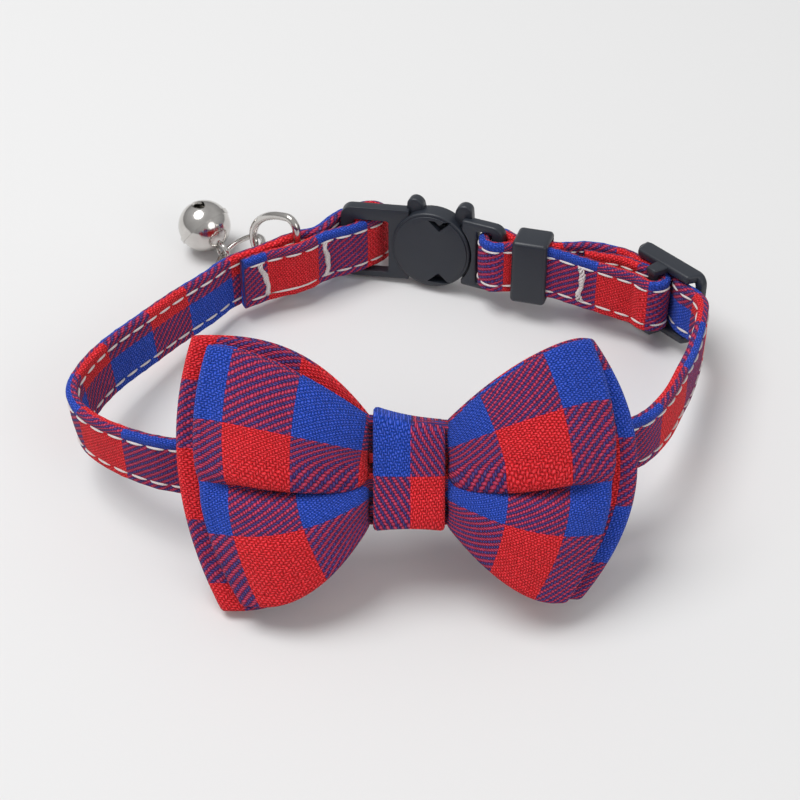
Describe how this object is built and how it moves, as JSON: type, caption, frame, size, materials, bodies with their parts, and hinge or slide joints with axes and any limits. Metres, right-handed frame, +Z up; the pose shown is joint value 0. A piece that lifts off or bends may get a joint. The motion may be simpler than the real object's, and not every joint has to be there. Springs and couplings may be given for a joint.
{
  "type": "pet bow tie collar",
  "caption": "Fastened pet collar of folded plaid cloth with a double bow tie, a breakaway clasp, a length slider, a keeper loop, and a bell on a D ring.",
  "frame": {"origin": "on the surface that the collar lies on, under the middle of its bounding box", "axes": "+Z up, +X to the right along the bow as its front is seen, +Y from the bow to the clasp"},
  "size_m": [0.1062, 0.0954, 0.038],
  "materials": {
    "plaid_cloth": "red and blue check, cotton twill, white stitching",
    "black_plastic": "moulded satin black",
    "black_elastic": "flat woven elastic",
    "bright_nickel": "bright plated"
  },
  "bodies": {
    "root": {"strap": "plaid_cloth", "clasp_head": "black_plastic", "clasp_tongue": "black_plastic", "keeper": "black_plastic", "slider": "black_plastic", "bow_back": "plaid_cloth", "bow_front": "plaid_cloth", "bow_knot": "plaid_cloth", "bow_band": "black_elastic", "d_ring": "bright_nickel", "jump_ring": "bright_nickel", "bell": "bright_nickel", "bell_pea": "bright_nickel"}
  },
  "joints": []
}
